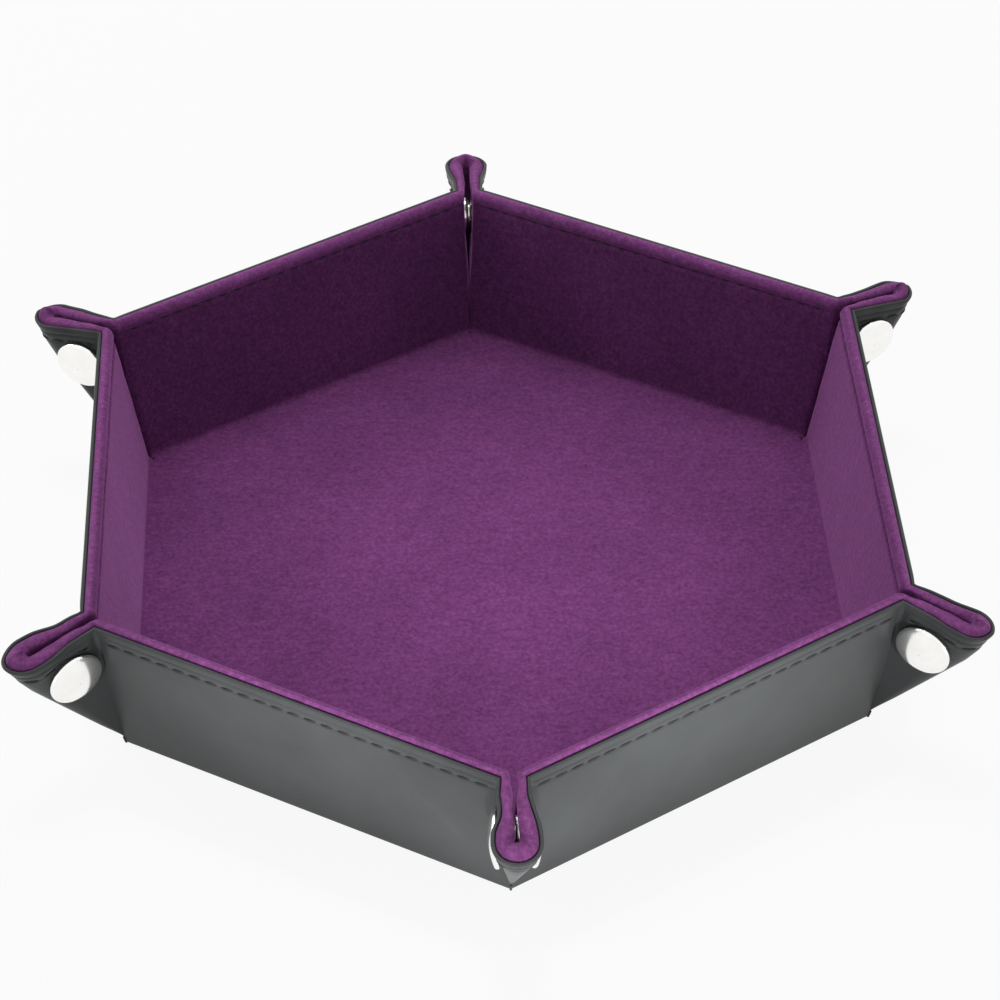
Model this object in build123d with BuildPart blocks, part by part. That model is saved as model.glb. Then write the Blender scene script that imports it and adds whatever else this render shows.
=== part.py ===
from build123d import *
from math import acos, asin, atan2, cos, degrees, radians, sin, tan
import os

# A folding hexagonal dice tray. The base and the six walls are velvet, board and leather.
# Each corner of the sheet is pinched into an ear, and a snap fastener holds the ear's two halves.
# The tray is modelled closed, as it stands in use, and it opens out to a flat sheet.
# Millimetres, +Z up, origin under the middle of the base. The first wall faces +X.

# Tray
wall_count = 6
base_side = 93.5            # side of the hexagon along the folds under the walls
wall_slant = 40.0           # wall height measured up its own face
wall_lean = 10.0            # degrees that a closed wall leans outward
ear_fold = 64.0             # degrees that a closed ear half is folded out of its wall's plane
ear_tip_rise = 60.6         # degrees from the table up to the axis of the ear's round tip
ear_slack = 0.8             # sheet taken up at the crease when the tray is opened flat
ear_foot_height = 4.5       # height up the crease where an ear begins

# Sheet
leather_thickness = 0.9
board_thickness = 1.0
velvet_thickness = 1.1      # over a board; beyond the board the velvet fills both layers
leather_rim_radius = 0.4
velvet_rim_radius = 0.9

# Boards
board_below_rim = 5.5       # the seam at the rim runs clear of the board
board_above_fold = 2.6
board_from_crease = 2.4
base_board_inset = 2.8

# Snap fasteners
cap_diameter = 12.5
cap_height = 2.4
cap_edge = 0.7              # height and width of the cap's bevelled edge
cap_from_crease = 0.75
cap_below_rim = 3.85
post_diameter = 2.6
socket_diameter = 8.8
socket_bore = 4.2
socket_bevel = 0.4
stud_flange_diameter = 8.4
stud_flange_thickness = 0.85
stud_neck_diameter = 2.9
stud_head_diameter = 3.3
stud_head_length = 1.1
stud_head_bevel = 0.45

# Clearances
fold_gap = 0.2              # between two pieces that fold on each other
middle_gap = 0.2            # from an ear half or a wall's end to the corner's middle plane
snap_gap = 0.2              # round the parts of a snap
seat_gap = 0.1              # least velvet left under a socket or stud
mouth_gap = 0.3             # from the socket's front to the stud's flange
stud_gap = 0.45             # from the stud's tip to the plane of the socket's seat
overrun = 4.0               # how far a blank or a cut runs past what trims it

# Directions at the first wall and at the corner on its right, seen from inside
half_corner = radians(180 / wall_count)
lean = radians(wall_lean)
fold = radians(ear_fold)
up = Vector(0, 0, 1)
outward = Vector(1, 0, 0)
along = Vector(0, 1, 0)
wall_up = up * cos(lean) + outward * sin(lean)
wall_out = outward * cos(lean) - up * sin(lean)
radial = outward * cos(half_corner) - along * sin(half_corner)
across = outward * sin(half_corner) + along * cos(half_corner)
ear_out = wall_out * sin(fold) - along * cos(fold)
ear_face = wall_out * cos(fold) + along * sin(fold)

# Places at that wall and corner
apothem = base_side / 2 / tan(half_corner)
lining = board_thickness + velvet_thickness
sheet = leather_thickness + lining
edge_middle = outward * apothem
corner = edge_middle - along * (base_side / 2)
hinge_shift = leather_thickness * tan(fold / 2)
hinge = corner - wall_out * leather_thickness - along * hinge_shift

# A closed ear half is a flat plate that runs into a cone round the tip. The cone's axis is in the
# corner's middle plane, and both plates touch it. Its point is near the corner of the base.
valley = across.cross(ear_face).normalized()
tip_axis = radial * cos(radians(ear_tip_rise)) + up * sin(radians(ear_tip_rise))
tip_sine = -ear_face.dot(tip_axis)
tip_point = corner + valley * ear_slack
touch_line = tip_axis + ear_face * tip_sine
touch_slope = touch_line.dot(ear_out) / touch_line.dot(wall_up)
tip_length = (wall_slant + overrun) / tip_axis.dot(wall_up)
ear_depth = tip_length * tip_sine + overrun


def cut_plane(point, direction, gap):
    """A plane set off from a point by a gap; what is trimmed by it keeps the side it faces."""
    normal = direction.normalized()
    return Plane(origin=point + normal * gap, z_dir=normal)


wall_plane = Plane(origin=edge_middle, x_dir=along, z_dir=wall_out)
wall_section = Plane(origin=corner - wall_up * overrun, x_dir=along, z_dir=wall_up)
ear_skin = Plane(origin=corner, x_dir=ear_out, z_dir=ear_face * -1)
wall_foot_cut = cut_plane(edge_middle, wall_up + outward, fold_gap / 2)
wall_crease_cut = cut_plane(corner, along - ear_out, fold_gap / 2)
ear_crease_cut = cut_plane(corner, ear_out - along, fold_gap / 2)
ear_root_cut = cut_plane(hinge, ear_out, fold_gap / 2)
middle_cut = cut_plane(corner, across, middle_gap)

# Base
base_taper = (90 - wall_lean) / 2
base_draw = tan(radians(base_taper))
base_apothem = apothem - fold_gap / 2 / cos(radians(base_taper))
base_lining = Plane.XY.offset(leather_thickness)


def hexagon(plane, reach):
    """The base's outline on a plane, with its flats a given distance from the middle."""
    with BuildSketch(plane) as outline:
        RegularPolygon(reach, wall_count, major_radius=False, rotation=180 / wall_count)
    return outline.sketch


with BuildPart() as base_leather:
    extrude(hexagon(Plane.XY, base_apothem), leather_thickness, taper=base_taper)

with BuildPart() as base_board:
    extrude(hexagon(base_lining, apothem - base_board_inset), board_thickness)

with BuildPart() as base_velvet:
    extrude(hexagon(base_lining, base_apothem - leather_thickness * base_draw), lining, taper=base_taper)
    add(base_board.part, mode=Mode.SUBTRACT)

# First wall: half of each layer is made from the corner to the middle, and mirrored
with BuildPart() as wall_leather:
    with BuildSketch(wall_plane):
        with Locations((0, -overrun)):
            Rectangle(base_side / 2 + overrun, wall_slant + overrun, align=(Align.MAX, Align.MIN))
    extrude(amount=-leather_thickness)
    split(bisect_by=wall_foot_cut)
    split(bisect_by=wall_crease_cut)
    split(bisect_by=middle_cut)
    rim_edge = wall_leather.edges().filter_by(Axis.Y).sort_by(Axis.Z)[-2]
    fillet(rim_edge, leather_rim_radius)
    mirror(about=Plane.XZ)

board_width = base_side - 2 * board_from_crease
board_height = wall_slant - board_below_rim - board_above_fold
with BuildPart() as wall_board:
    with BuildSketch(wall_plane.offset(-leather_thickness)):
        with Locations((0, board_above_fold)):
            Rectangle(board_width, board_height, align=(Align.CENTER, Align.MIN))
    extrude(amount=-board_thickness)

# The velvet goes on past the wall's end and rolls over the crease, round the ear's hinge line
roll_end = degrees(asin(fold_gap / lining))
with BuildPart() as wall_velvet:
    with BuildSketch(wall_section):
        with BuildLine():
            roll = CenterArc((-hinge_shift, leather_thickness), lining, 90, 90 - roll_end)
            Polyline(
                roll @ 0,
                (base_side / 2, sheet),
                (base_side / 2, leather_thickness),
                (fold_gap - hinge_shift, leather_thickness),
                (fold_gap - hinge_shift, leather_thickness + fold_gap),
                roll @ 1,
            )
        make_face()
    extrude(amount=overrun + wall_slant)
    split(bisect_by=wall_foot_cut)
    split(bisect_by=middle_cut)
    rim_edge = wall_velvet.edges().filter_by(Axis.Y).sort_by(Axis.Z)[-1]
    fillet(rim_edge, velvet_rim_radius)
    mirror(about=Plane.XZ)
    add(wall_board.part, mode=Mode.SUBTRACT)


# Ear half at the first wall's right-hand corner
def ear_form(depth, top):
    """The ear half inside a skin of a given depth, up to a height along the crease."""
    point = tip_point + tip_axis * (depth / tip_sine)
    point_out = (point - corner).dot(ear_out)
    point_up = (point - corner).dot(wall_up)
    bottom = max(ear_foot_height, point_up)
    with BuildPart() as form:
        with BuildSketch(ear_skin.offset(depth)):
            with BuildLine():
                Polyline(
                    (-overrun, bottom),
                    (-overrun, top),
                    (point_out + (top - point_up) * touch_slope, top),
                    (point_out + (bottom - point_up) * touch_slope, bottom),
                    close=True,
                )
            make_face()
        extrude(amount=ear_depth)
        with BuildSketch(Plane(origin=point, x_dir=tip_axis, z_dir=across)):
            with BuildLine():
                tip_radius = tip_length * tan(asin(tip_sine))
                Polyline((0, 0), (tip_length, 0), (tip_length, tip_radius), close=True)
            make_face()
        revolve(axis=Axis(point, tip_axis))
        split(bisect_by=cut_plane(corner + wall_up * bottom, wall_up, 0))
        split(bisect_by=cut_plane(corner + wall_up * top, wall_up * -1, 0))
        split(bisect_by=middle_cut)
    return form.part


snap_from_crease = cap_diameter / 2 + cap_from_crease
snap_height = wall_slant - cap_diameter / 2 - cap_below_rim
cap_seat = corner + ear_out * snap_from_crease + wall_up * snap_height
seat_rise = (cap_seat - corner).dot(across)
seat_slope = tan(acos(ear_face.dot(across)))
snap_back = seat_rise - leather_thickness / ear_face.dot(across) - socket_diameter / 2 * seat_slope - seat_gap
snap_middle = cap_seat - across * seat_rise
cap_section = Plane(origin=cap_seat, x_dir=ear_out, z_dir=ear_out.cross(ear_face))
snap_section = Plane(origin=snap_middle, x_dir=radial, z_dir=up)
cap_axis = Axis(cap_seat, ear_face)
snap_axis = Axis(snap_middle, across)


def post_hole():
    """The hole that the cap's post goes through."""
    with BuildSketch(Plane(origin=cap_seat, z_dir=ear_face)) as hole:
        Circle(post_diameter / 2 + snap_gap)
    extrude(hole.sketch, sheet, both=True, mode=Mode.SUBTRACT)


outer_form = ear_form(0, wall_slant)
inner_form = ear_form(leather_thickness, wall_slant + overrun)
hollow_form = ear_form(sheet, wall_slant + overrun)

with BuildPart() as ear_leather:
    add(outer_form)
    add(inner_form, mode=Mode.SUBTRACT)
    split(bisect_by=ear_crease_cut)
    post_hole()

# The velvet is hollowed round the wall's rolled velvet, and sunk under the socket or stud
with BuildPart() as ear_velvet:
    add(ear_form(leather_thickness, wall_slant))
    add(hollow_form, mode=Mode.SUBTRACT)
    split(bisect_by=ear_root_cut)
    with BuildSketch(Plane(origin=hinge - wall_up * overrun, z_dir=wall_up)):
        Circle(lining + fold_gap)
    extrude(amount=wall_slant + 2 * overrun, mode=Mode.SUBTRACT)
    with BuildSketch(Plane(origin=snap_middle, z_dir=across)):
        Circle(socket_diameter / 2 + snap_gap)
    extrude(amount=snap_back, mode=Mode.SUBTRACT)
    post_hole()

# Snap fastener: a domed cap with a post on the leather, and a socket or a stud on the velvet
cap_radius = cap_diameter / 2
post_length = seat_rise - snap_back - snap_gap
stud_face = snap_back - stud_flange_thickness
stud_reach = snap_back - stud_gap
socket_mouth = stud_face - mouth_gap
dome_rise = cap_height - cap_edge
dome_radius = (cap_radius ** 2 + dome_rise ** 2) / (2 * dome_rise)
dome_start = degrees(atan2(dome_radius - dome_rise, cap_radius))
with BuildPart() as cap:
    with BuildSketch(cap_section):
        with BuildLine():
            dome = CenterArc((0, cap_height - dome_radius), dome_radius, dome_start, 90 - dome_start)
            Polyline(
                dome @ 1,
                (0, -post_length),
                (post_diameter / 2, -post_length),
                (post_diameter / 2, 0),
                (cap_radius - cap_edge, 0),
                dome @ 0,
            )
        make_face()
    revolve(axis=cap_axis)

with BuildPart() as socket:
    with BuildSketch(snap_section):
        with Locations((socket_bore / 2, -socket_mouth)):
            ring_width = (socket_diameter - socket_bore) / 2
            Rectangle(ring_width, socket_mouth + snap_back, align=(Align.MIN, Align.MIN))
    revolve(axis=snap_axis)
    front_edges = socket.edges().filter_by(GeomType.CIRCLE).sort_by(snap_axis)[:2]
    chamfer(front_edges, socket_bevel)

with BuildPart() as stud:
    with BuildSketch(snap_section):
        with BuildLine():
            Polyline(
                (0, snap_back),
                (stud_flange_diameter / 2, snap_back),
                (stud_flange_diameter / 2, stud_face),
                (stud_neck_diameter / 2, stud_face),
                (stud_neck_diameter / 2, stud_head_length - stud_reach),
                (stud_head_diameter / 2, stud_head_bevel - stud_reach),
                (stud_head_diameter / 2 - stud_head_bevel, -stud_reach),
                (0, -stud_reach),
                close=True,
            )
        make_face()
    revolve(axis=snap_axis)

with BuildPart() as socket_snap:
    add(cap.part)
    add(socket.part)

with BuildPart() as stud_snap:
    add(cap.part)
    add(stud.part)

# Every wall is the first one turned, with a socket ear at one end and a stud ear at the other
wall_names = ["right", "back_right", "back_left", "left", "front_left", "front_right"]
corner_names = ["front_right", "back_right", "back", "back_left", "front_left", "front"]

os.makedirs("parts", exist_ok=True)


def write(piece, name):
    """Labels a finished piece and writes it."""
    piece.label = name
    export_step(piece, f"parts/{name}.step")


write(base_leather.part, "base_leather")
write(base_board.part, "base_board")
write(base_velvet.part, "base_velvet")

for index, wall_name in enumerate(wall_names):
    turn = index * 360 / wall_count
    socket_corner = corner_names[index]
    stud_corner = corner_names[(index + 1) % wall_count]
    pieces = {
        f"wall_{wall_name}_leather": wall_leather.part,
        f"wall_{wall_name}_board": wall_board.part,
        f"wall_{wall_name}_velvet": wall_velvet.part,
        f"ear_{socket_corner}_socket_half_leather": ear_leather.part,
        f"ear_{socket_corner}_socket_half_velvet": ear_velvet.part,
        f"snap_{socket_corner}_socket": socket_snap.part,
        f"ear_{stud_corner}_stud_half_leather": mirror(ear_leather.part, Plane.XZ),
        f"ear_{stud_corner}_stud_half_velvet": mirror(ear_velvet.part, Plane.XZ),
        f"snap_{stud_corner}_stud": mirror(stud_snap.part, Plane.XZ),
    }
    for name, piece in pieces.items():
        write(piece.rotate(Axis.Z, turn), name)
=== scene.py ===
from math import acos, asin, ceil, cos, degrees, pi, radians, sin, sqrt, tan

import bmesh
import bpy
import numpy as np
from mathutils import Matrix, Vector, noise


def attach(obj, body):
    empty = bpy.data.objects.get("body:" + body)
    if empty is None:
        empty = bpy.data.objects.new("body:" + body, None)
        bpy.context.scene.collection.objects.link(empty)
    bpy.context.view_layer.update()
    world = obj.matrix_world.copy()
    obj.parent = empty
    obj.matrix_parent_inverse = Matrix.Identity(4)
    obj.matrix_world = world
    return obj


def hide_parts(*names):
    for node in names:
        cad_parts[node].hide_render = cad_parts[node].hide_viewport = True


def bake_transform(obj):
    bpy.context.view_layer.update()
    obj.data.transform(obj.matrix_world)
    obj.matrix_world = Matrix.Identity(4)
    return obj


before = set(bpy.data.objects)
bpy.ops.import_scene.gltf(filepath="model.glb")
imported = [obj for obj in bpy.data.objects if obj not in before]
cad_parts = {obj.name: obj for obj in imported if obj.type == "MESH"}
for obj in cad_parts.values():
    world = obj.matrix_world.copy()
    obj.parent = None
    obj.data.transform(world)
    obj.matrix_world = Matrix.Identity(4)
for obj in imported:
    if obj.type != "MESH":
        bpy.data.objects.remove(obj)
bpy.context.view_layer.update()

# The looks of a folding hexagonal dice tray. Every soft layer is a closed shell with a front and a back.
# Shapes are worked out in millimetres on the first wall, which faces +X, and at the corner on its right, seen
# from inside. They become metres, turned or mirrored to their place, where a mesh is made.
MM = 0.001

# Tray, as in the CAD model
wall_count = 6
base_side = 93.5
wall_slant = 40.0
wall_lean = radians(10.0)
ear_fold = radians(64.0)
ear_tip_rise = radians(60.6)
ear_slack = 0.8
leather = 0.9
board = 1.0
sheet = 3.0
wall_names = ["right", "back_right", "back_left", "left", "front_left", "front_right"]
corner_names = ["front_right", "back_right", "back", "back_left", "front_left", "front"]

# Leather
foot_radius = 0.7  # round of the leather at the fold under a wall
foot_corner = 0.6  # how far a wall's lower corners are rounded off
base_leather_inset = 1.3  # from the fold to the base leather's upper edge
leather_room_share = 0.6  # most of a pinched corner's depth that leather takes
room_height_least = 0.2  # lowest height at which that depth is taken
leather_least = 0.05
crease_blend = 0.4  # how far past the crease the leather bends with it
groove_below_rim = 1.9  # pressed line under the rim
groove_depth = 0.2
groove_width = 0.3
hollow_depth = 0.55  # where a wall's leather turns into an ear's
hollow_width = 1.5
hollow_below_rim = 5.0
hollow_spread = 4.0
seam_below_rim = 4.0
seam_depth = 0.14
seam_width = 0.5
dent_fade = 1.5  # from a crease to where the pressed line and the seam's furrow are whole
toe_sides = 24
# A toe's rings: height, from the base's corner out to the ring's middle, radius, room from the walls
toe_rings = [
    (0.00, -0.12, 0.24, -0.25),
    (0.25, -0.06, 0.30, -0.25),
    (0.80, 0.06, 0.32, 0.03),
    (1.40, 0.20, 0.33, 0.03),
    (1.80, 0.32, 0.29, 0.03),
    (1.88, 0.36, 0.18, 0.03),
]

# Velvet
inner_seam_below_rim = 3.2
floor_fillet = 1.0  # where the floor runs up into a wall
floor_margin = 0.4  # of a wall's velvet that lies on the floor
floor_overrun = 1.0  # of that velvet past the corner's middle plane
velvet_clear = 0.02  # between leather and velvet
board_clear = 0.07  # between board and velvet
board_top_below_rim = 5.1
pile_rise = 0.25  # velvet standing above the leather at the rim
pile_round = 1.1  # height of the velvet's round at the rim
pile_wave = 0.07  # unevenness of the pile
pile_wave_length = 7.0
pile_fade = 3.0  # from a wall's foot to where that unevenness is whole
tuck_depth = 0.75  # how deep the seam pulls the velvet in
tuck_width = 0.6
tuck_pucker_share = 0.5
welt_swell = 0.3  # swelling between seam and rim
welt_width = inner_seam_below_rim / 3
squeeze = 0.5  # how softly velvet meets velvet in a corner

# Slit in a corner at its widest: half its width at heights up the wall
slit_heights = np.array([0.0, 12.0, 18.0, 24.0, 29.0, 34.0, 40.0])
slit_halves = np.array([0.03, 0.05, 0.15, 0.45, 0.68, 0.66, 0.50])
slit_least = 0.03
mouth_half = 0.30  # half the width of a corner's mouth at the rim, past the slit's own
mouth_reach = 2.2

# Ears are soft above their snaps: they swell and sag there, each in its own way. Their velvet is plump, as
# they have no board. A start share is of the way from the crease to the tip.
swell_start = 30.0  # height up the wall
swell_from_crease = 5.0
swell_spread = 7.0
swell_fill_share = 0.75  # of the swell, filled by velvet
cap_clear = 3.0  # how soon the swelling starts past a cap
rumple_length = 6.0  # of the waves in an ear's sheet
rumple_start_share = 0.6  # where the waves of the two halves start to agree
fold_start = 2.5  # height above which the folded edge stands out, as far as the flat sheet has room
fold_reach = 0.044  # how far, per height above that
fold_reach_start_share = 0.2
fold_round = 0.020  # how far the fold swells there
fold_round_start_share = 0.7
fold_draw = 0.30  # how far the folded edge is drawn in at its foot, for room when flat
fold_draw_height = 10.0
blunting_start_share = 0.45
ear_pile_wave = 0.65  # waves in an ear's velvet lips
ear_pile_wave_length = 3.0
tip_bunch = 1.6  # velvet bunched up in the bend of the tip
tip_bunch_start_share = 0.6
middle_gap = 0.015  # from an ear half to the corner's middle plane
seed_step = 17.3  # how far apart the waves of different pieces are taken
# How far each corner's slit opens, its velvet fills out, and its sheet swells, waves, sags and is drawn in
look_names = ["slit_share", "plump", "swell", "rumple", "droop", "blunting"]
look_values = {
    "front_right": [0.15, 1.5, 0.5, 0.35, 0.3, 0.0],
    "back_right": [0.20, 1.2, 0.1, 0.30, 0.0, 0.0],
    "back": [1.20, 0.9, 0.9, 0.30, 0.0, 1.0],
    "back_left": [0.30, 1.2, 0.3, 0.35, 0.0, 0.0],
    "front_left": [0.30, 0.9, 0.9, 0.35, 0.4, 0.0],
    "front": [0.40, 0.9, 1.1, 0.80, 1.6, 0.5],
}
corner_looks = {name: dict(zip(look_names, values)) for name, values in look_values.items()}

# Rows and columns of the soft layers' grids. Heights are up the wall.
wall_leather_low = [1.2, 2.5]  # single rows above the foot
ear_leather_low = [2.0, 2.6, 3.5]
ear_velvet_low = [2.8, 3.6, 4.5]
velvet_low_step = 0.8
body_start = 5.5
body_below_seam = 1.5
body_rows = 8
seam_margin = 1.2  # from the seam down to the first of its close rows
leather_seam_rows = 26
velvet_seam_rows = 16
rim_turn = radians(80.0)  # how far round the rim the last row lies
rim_rows = 6
leather_foot_rows = 7
velvet_foot_rows = 8
wall_leather_columns = 49
wall_velvet_columns = 103
plate_columns = 18
plate_crowding = 1.5  # power that brings an ear's columns together at the crease
cone_columns = 13
roll_columns = 8  # of velvet round a crease

# Snap fasteners
cap_radius = 6.25
cap_height = 2.4
cap_roll = 0.62  # radius of the cap's rolled edge
cap_roll_end = 60.0  # degrees up the rolled edge where the dome starts
cap_roll_points = 9
dome_end = 89.6  # degrees, just short of the axis
dome_points = 12
snap_from_crease = 7.0
snap_height = 29.9
post_radius = 1.3
socket_radius = 4.4
socket_bore_radius = 2.1
stud_flange_radius = 4.2
stud_flange = 0.85
stud_neck_radius = 1.45
stud_head_radius = 1.65
stud_head_length = 1.1
stud_head_start = 30.0  # degrees up the head's round where it starts
stud_head_points = 6
snap_bevel = 0.35
bevel_cut = 10.0  # degrees left off a bevel's round
bevel_points = 5
axis_gap = 0.02  # from a turned piece's axis to its profile
seat_gap = 0.1
mouth_gap = 0.3
stud_gap = 0.45
post_gap = 0.2
seat_dent_margin = 0.3  # velvet pressed flat round a socket or stud
seat_dent_slope = 0.8
lathe_segments = 56

# Stitches
stitch_pitch = 3.9
stitch_length = 3.2
stitch_half_width = 0.36
stitch_half_height = 0.18
stitch_slant = 0.16  # from the seam's line to a stitch's end
stitch_arch = 0.22
stitch_end_least = 0.02  # keeps a stitch's ends from closing to a point
stitch_sides = 8
stitch_points = 7
seam_points = 120
seam_end_gap = 0.3  # least, from a crease to a stitch on a wall's leather
inner_seam_end_gap = 1.8
inner_stitch_sink = 0.12  # how far the pile closes over the stitches inside
ear_seam_start_gap = 0.6
ear_seam_tip_gap = 0.2

# Pieces and materials
soft_edge = 50.0  # degrees between faces past which an edge is sharp
metal_edge = 35.0
shader_name = "Principled BSDF"
splay_and_highlight_name = "splay_and_highlight"  # mesh attribute: how far the pile opens where it bends over the rim; the velvet's colour is painted lighter there, partly the splayed pile's own look and partly a painted highlight


# Small sums

def spread(values, direction):
    """Values times a direction, as points."""
    return np.multiply.outer(np.asarray(values, float), direction)


def unit(direction):
    return direction / np.linalg.norm(direction)


def bell(x, width):
    return np.exp(-((x / width) ** 2))


def ease(x):
    x = np.clip(x, 0.0, 1.0)
    return x * x * (3 - 2 * x)


def ease_from(start, shares):
    """0 up to a start share, and 1 at the whole."""
    return ease((shares - start) / (1 - start))


def soft_least(a, b):
    """The lesser of two depths, rounded where they are nearly equal."""
    return -squeeze * np.logaddexp(-np.asarray(a) / squeeze, -np.asarray(b) / squeeze)


def softness(height):
    """How soft the sheet is at a height: 0 beside the boards and the snaps, 1 at the rim."""
    return ease((height - swell_start) / (wall_slant - swell_start))


def mouth(from_crease, height):
    """How much wider a corner's slit is where the walls turn into the ear."""
    return mouth_half * softness(height) * bell(from_crease, mouth_reach)


def slit_half(height, share):
    return np.maximum(np.interp(height, slit_heights, slit_halves) * share, slit_least)


def unevenness(points, seed, wave_length=pile_wave_length):
    """A slow wave over points, from -1 to 1, that differs with the seed."""
    flat = points.reshape(-1, 3) / wave_length + np.array([0.0, 0.0, seed * seed_step])
    return np.array([noise.noise(Vector(p)) for p in flat]).reshape(points.shape[:-1])


# Directions and places at the first wall and its right-hand corner
half_corner = pi / wall_count
half_side = base_side / 2
up = np.array([0.0, 0.0, 1.0])
outward = np.array([1.0, 0.0, 0.0])
along = np.array([0.0, 1.0, 0.0])
wall_up = up * cos(wall_lean) + outward * sin(wall_lean)
wall_out = outward * cos(wall_lean) - up * sin(wall_lean)
radial = outward * cos(half_corner) - along * sin(half_corner)
across = outward * sin(half_corner) + along * cos(half_corner)
ear_out = wall_out * sin(ear_fold) - along * cos(ear_fold)
ear_face = wall_out * cos(ear_fold) + along * sin(ear_fold)
apothem = half_side / tan(half_corner)
edge_middle = outward * apothem
corner = edge_middle - along * half_side
hinge_shift = leather * tan(ear_fold / 2)
hinge = corner - wall_out * leather - along * hinge_shift
fold_turn = pi / 2 - wall_lean
mitre_slope = tan(fold_turn / 2)
foot_tangent = foot_radius * mitre_slope
floor_foot = (sheet + floor_fillet) * mitre_slope
floor_inset = floor_foot + floor_margin
floor_back = leather + board + board_clear
seam_height = wall_slant - seam_below_rim
inner_seam_height = wall_slant - inner_seam_below_rim
groove_height = wall_slant - groove_below_rim

# The round tip of an ear is a cone that both ear plates touch
valley = unit(np.cross(across, ear_face))
tip_axis = radial * cos(ear_tip_rise) + up * sin(ear_tip_rise)
tip_sine = -ear_face.dot(tip_axis)
tip_cosine = sqrt(1 - tip_sine ** 2)
tip_point = corner + valley * ear_slack
tip_start = (ear_face + tip_axis * tip_sine) / tip_cosine
tip_end = radial * sin(ear_tip_rise) - up * cos(ear_tip_rise)
tip_side = unit(tip_end - tip_start * tip_start.dot(tip_end))
tip_turn = acos(tip_start.dot(tip_end))


# Meshes

def shell(front, back):
    """A closed shell between a front and a back grid of points."""
    rows, columns = front.shape[:2]
    a, b = np.arange(2 * rows * columns).reshape(2, rows, columns).tolist()
    faces = []
    for i in range(rows - 1):
        for j in range(columns - 1):
            faces.append((a[i][j], a[i][j + 1], a[i + 1][j + 1], a[i + 1][j]))
            faces.append((b[i][j], b[i + 1][j], b[i + 1][j + 1], b[i][j + 1]))
        for j in (0, columns - 1):
            faces.append((a[i][j], a[i + 1][j], b[i + 1][j], b[i][j]))
    for j in range(columns - 1):
        for i in (0, rows - 1):
            faces.append((a[i][j], b[i][j], b[i][j + 1], a[i][j + 1]))
    return np.vstack([front.reshape(-1, 3), back.reshape(-1, 3)]), faces


def plate(rings):
    """A solid through outlines of equally many points, from the first to the last."""
    sides = len(rings[0])
    faces = []
    for k in range(len(rings) - 1):
        a, b = k * sides, (k + 1) * sides
        for i in range(sides):
            j = (i + 1) % sides
            faces.append((a + i, a + j, b + j, b + i))
    last = (len(rings) - 1) * sides
    faces.append(tuple(range(sides))[::-1])
    faces.append(tuple(last + i for i in range(sides)))
    return np.vstack(rings), faces


def lathe(profile, point, axis):
    """A closed profile of (radius, height) turned about an axis through a point."""
    first = unit(np.cross(axis, wall_up))
    second = np.cross(axis, first)
    points, faces = [], []
    rings = len(profile)
    for k in range(lathe_segments):
        angle = 2 * pi * k / lathe_segments
        spoke = first * cos(angle) + second * sin(angle)
        points.extend(point + spoke * r + axis * h for r, h in profile)
        a, b = k * rings, (k + 1) % lathe_segments * rings
        for i in range(rings):
            j = (i + 1) % rings
            faces.append((a + i, b + i, b + j, a + j))
    return np.array(points), faces


def arc(centre, radius, start, end, steps):
    """Points of a round as (radius, height), from one angle in degrees to another."""
    angles = np.radians(np.linspace(start, end, steps))
    return [(centre[0] + radius * cos(a), centre[1] + radius * sin(a)) for a in angles]


def join(parts):
    """Several (points, faces) as one."""
    points, faces, count = [], [], 0
    for part_points, part_faces in parts:
        points.append(part_points)
        faces.extend(tuple(i + count for i in face) for face in part_faces)
        count += len(part_points)
    return np.vstack(points), faces


def place(index, mirrored=False):
    """The turn, and the mirroring at a stud half, that takes the first wall's shapes to a wall."""
    angle = index * 2 * pi / wall_count
    turn = np.array([
        [cos(angle), -sin(angle), 0.0],
        [sin(angle), cos(angle), 0.0],
        [0.0, 0.0, 1.0],
    ])
    return turn @ np.diag([1.0, -1.0, 1.0]) if mirrored else turn


def metres(point, matrix):
    return tuple(float(x) for x in matrix @ point * MM)


def add_object(name, data):
    thing = bpy.data.objects.new(name, data)
    bpy.context.scene.collection.objects.link(thing)
    return thing


def add_piece(name, shape, look, matrix=np.eye(3), edge=soft_edge):
    """A mesh object from (points, faces) in millimetres and a look, which is a material and a slot; the slot
    is not used.
    """
    points, faces = shape
    material, slot = look
    mesh = bpy.data.meshes.new(name)
    mesh.from_pydata((points @ matrix.T * MM).tolist(), [], faces)
    work = bmesh.new()
    work.from_mesh(mesh)
    bmesh.ops.recalc_face_normals(work, faces=work.faces)
    work.to_mesh(mesh)
    work.free()
    mesh.polygons.foreach_set("use_smooth", [True] * len(mesh.polygons))
    mesh.set_sharp_from_angle(angle=radians(edge))
    mesh.materials.append(material)
    piece = add_object(name, mesh)
    return piece


def add_layer(kind, shape, matrix, bodies, bend, **facts):
    """A layer named for the second body, in its node's place. The first body and the two points of the bend
    are not used.
    """
    body = bodies[1]
    piece = add_piece(f"{kind}_{body}", shape, layer_looks[kind], matrix)
    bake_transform(piece)
    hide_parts(f"{body}_{kind}")
    return piece


def add_splay_and_highlight(piece, rounds):
    """Keeps on a velvet piece how far each point's pile is splayed, by its row's place round the rim; the
    velvet is painted lighter by it, partly a painted highlight.
    """
    columns = len(piece.data.vertices) // (2 * len(rounds))
    attribute = piece.data.attributes.new(splay_and_highlight_name, "FLOAT", "POINT")
    attribute.data.foreach_set("value", np.tile(np.repeat(1 - rounds, columns), 2))


# Materials

def new_material(name):
    material = bpy.data.materials.new(name)
    material.use_nodes = True
    return material, material.node_tree


def set_inputs(tree, node, inputs):
    """Sets a node's inputs to values, or links them to other nodes' outputs."""
    for name, value in inputs.items():
        if isinstance(value, bpy.types.NodeSocket):
            tree.links.new(value, node.inputs[name])
        else:
            node.inputs[name].default_value = value


def add_node(tree, kind, inputs, output):
    """One output of a new node."""
    node = tree.nodes.new(f"ShaderNode{kind}")
    set_inputs(tree, node, inputs)
    return node.outputs[output]


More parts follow.
